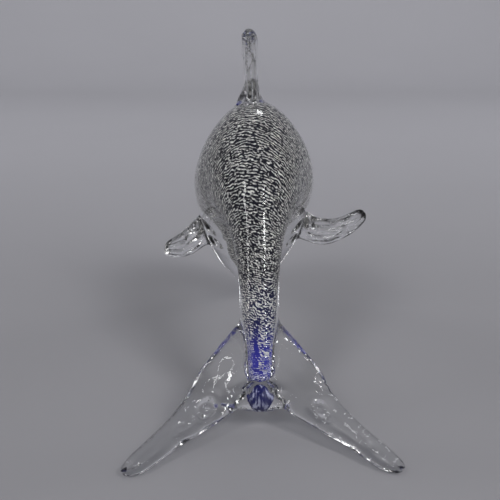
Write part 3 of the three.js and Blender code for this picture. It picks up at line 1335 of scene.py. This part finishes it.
@dataclass(frozen=True)
class Backdrop:
    """Plain lavender-grey paper of the studio sweep, with painted shade: darker near the figurine
    than far behind it.

    Attributes:
        wall: The paper far back, painted lighter as if it were lit more.
        floor: The paper near the figurine, darkened as painted shade.
        painted_shade_fade: Distances behind the figurine between which the painted shade goes over
            into the lighter paper, in metres.
        mottle: Depth of the mottling.
    """

    wall: Colour = (0.30, 0.298, 0.322, 1.0)
    floor: Colour = (0.180, 0.178, 0.190, 1.0)
    painted_shade_fade: Limits = (-0.1, 0.8)
    mottle: float = 0.06

    def build(self) -> bpy.types.Material:
        """Matt paper with a barely visible mottling.

        Returns:
            The material.
        """
        material, net = new_material("studio_paper")
        place = net.add("TexCoord").outputs["Object"]
        mottle = net.add("TexNoise", Vector=place, Scale=6.0, Detail=3.0).outputs[0]
        depth = net.add("SeparateXYZ", Vector=place).outputs["Y"]
        # Painted shade: the paper is darker near the figurine and lighter far back.
        painted_shade_tone = net.mix(net.ramp(depth, self.painted_shade_fade), self.floor, self.wall)
        shade = net.mix(self.mottle, painted_shade_tone, BLACK)
        paper = net.add("BsdfPrincipled", Base_Color=net.mix(mottle, painted_shade_tone, shade), Roughness=0.75)
        net.finish(paper.outputs[0])
        return material


# ---------------------------------------------------------------- studio


@dataclass(frozen=True)
class Softbox:
    """A rectangular lamp that faces a point.

    Attributes:
        name: Name of the lamp.
        place: Where it stands, in metres.
        width: Its width, in metres.
        height: Its height, in metres.
        watts: Its power.
        aim: The point that it faces, in metres.
        mirrored: Whether glass and metal mirror it.
        seen: Whether it is seen through glass.
    """

    name: str
    place: tuple[float, float, float]
    width: float
    height: float
    watts: float
    aim: tuple[float, float, float] = (0.0, 0.0, 0.08)
    mirrored: bool = True
    seen: bool = True

    def build(self) -> None:
        """Hangs the lamp."""
        lamp = bpy.data.lights.new(self.name, "AREA")
        lamp.shape = "RECTANGLE"
        lamp.size, lamp.size_y = self.width, self.height
        lamp.energy = self.watts
        holder = bpy.data.objects.new(self.name, lamp)
        holder.location = self.place
        away = Vector(self.aim) - Vector(self.place)
        holder.rotation_euler = away.to_track_quat("-Z", "Y").to_euler()
        holder.visible_camera = False
        holder.visible_glossy = self.mirrored
        holder.visible_transmission = self.seen
        bpy.context.scene.collection.objects.link(holder)


@dataclass
class Studio:
    """Sweep, lamps and camera.

    Attributes:
        distance: Camera to the aim, in metres.
        elevation: Camera's height over the horizon, in degrees.
        swing: How far it stands to the left of straight behind the tail, in degrees.
        aim: The point at the middle of the view before that swing, in metres.
        lens: Focal length, in millimetres.
        sensor: Width of the sensor, in millimetres.
        near: Nearest distance that is drawn, in metres.
        low_air: Colour of the room near the horizon.
        high_air: Colour of the room overhead.
        air_fade: Heights between which one goes over into the other.
        floor_gap: How far the sweep lies under the figurine, in metres.
        softboxes: The lamps. The camera sees none of them.
    """

    distance: float = 0.520
    elevation: float = 17.5
    swing: float = 1.3
    aim: tuple[float, float, float] = (-0.0029, 0.0025, 0.062)
    lens: float = 72.0
    sensor: float = 36.0
    near: float = 0.01
    low_air: Colour = (0.08, 0.08, 0.092, 1.0)
    high_air: Colour = (0.13, 0.133, 0.15, 1.0)
    air_fade: Limits = (0.15, 0.95)
    floor_gap: float = 0.0001
    softboxes: tuple[Softbox, ...] = (
        Softbox("key_left", (-0.80, -1.40, 1.55), 0.5, 0.5, 22.0, mirrored=False, seen=False),
        Softbox("key_right", (0.90, -1.40, 1.55), 0.5, 0.5, 29.0, mirrored=False, seen=False),
        Softbox("wall_wash", (0.0, 0.60, 1.50), 1.6, 0.4, 6.0, aim=(0.0, 1.2, 0.2), mirrored=False,
                seen=False),
        Softbox("strip_right", (0.62, -0.78, 0.50), 0.06, 1.1, 3.8),
        Softbox("strip_left", (-0.95, -0.30, 0.45), 0.10, 0.8, 1.5),
        Softbox("glow_right", (1.15, 0.55, 0.45), 0.35, 0.9, 5.5, mirrored=False),
        Softbox("glow_left", (-1.15, 0.55, 0.45), 0.35, 0.9, 5.5, mirrored=False),
        Softbox("glow_front", (0.12, 1.1, 1.2), 0.4, 0.15, 1.3),
    )

    def sweep(self, paper: bpy.types.Material) -> None:
        """A floor that curves up into a backdrop, made by drawing its profile sideways.

        Args:
            paper: Finish of the sweep.
        """
        front, depth, rise, radius, half = -2.0, 0.95, 1.6, 0.45, 2.2
        turns = spread(0.0, math.pi / 2, 24)
        curve = [(depth + radius * math.sin(a), radius * (1 - math.cos(a))) for a in turns]
        profile = [(front, 0.0), *curve, (depth + radius, rise)]
        bm = bmesh.new()
        line = [bm.verts.new((-half, y, z - self.floor_gap)) for y, z in profile]
        edges = [bm.edges.new(pair) for pair in zip(line, line[1:])]
        grown = bmesh.ops.extrude_edge_only(bm, edges=edges)["geom"]
        far = [item for item in grown if isinstance(item, bmesh.types.BMVert)]
        bmesh.ops.translate(bm, vec=(2 * half, 0, 0), verts=far)
        floor = as_object(bm, "studio_sweep")
        floor.data.materials.append(paper)

    def camera(self) -> None:
        """Sets up the camera, tail-on and a little above."""
        lens = bpy.data.cameras.new("camera")
        lens.lens, lens.sensor_width = self.lens, self.sensor
        lens.clip_start = self.near
        holder = bpy.data.objects.new("camera", lens)
        lift, swing = math.radians(self.elevation), math.radians(self.swing)
        level = math.cos(lift)
        back = Vector((math.sin(-swing) * level, -math.cos(swing) * level, math.sin(lift)))
        turned = Matrix.Rotation(-swing, 3, "Z") @ Vector(self.aim)
        holder.location = turned + back * self.distance
        holder.rotation_euler = (-back).to_track_quat("-Z", "Y").to_euler()
        bpy.context.scene.collection.objects.link(holder)
        bpy.context.scene.camera = holder

    def air(self) -> None:
        """Fills the room with soft light, a little brighter overhead."""
        world = bpy.data.worlds.new("studio_air")
        world.use_nodes = True
        net = Wiring(world.node_tree)
        way = net.add("TexCoord").outputs["Generated"]
        height = net.add("SeparateXYZ", Vector=way).outputs["Z"]
        air = net.mix(net.ramp(height, self.air_fade), self.low_air, self.high_air)
        glow = net.add("Background", Color=air, Strength=1.0)
        output = net.add("OutputWorld")
        net.tree.links.new(glow.outputs[0], output.inputs["Surface"])
        bpy.context.scene.world = world

    def build(self) -> None:
        """Sets the whole studio."""
        self.sweep(Backdrop().build())
        self.camera()
        self.air()
        for softbox in self.softboxes:
            softbox.build()
        bpy.context.scene.view_settings.view_transform = "Standard"


def main() -> None:
    """Builds the figurine piece by piece, then the studio round it."""
    logging.basicConfig(level=logging.INFO, format="%(message)s")
    crackle = Crackle().build()
    glass = CrystalGlass()
    glass.build()
    glass.dress(Crystal().build(), FusedFace().build())
    SilveredCore().build(BrokenLeaf().build(crackle), CobaltGlass().build(crackle))
    white = BeadGlass("white_glass", (0.86, 0.85, 0.80, 1.0), (0.78, 0.77, 0.73, 1.0)).build()
    black = BeadGlass("black_glass", (0.010, 0.010, 0.014, 1.0), (0.020, 0.020, 0.028, 1.0)).build()
    for side in ("right", "left"):
        Eye(side).build(white, black)
    Studio().build()


if __name__ == "__main__":
    main()
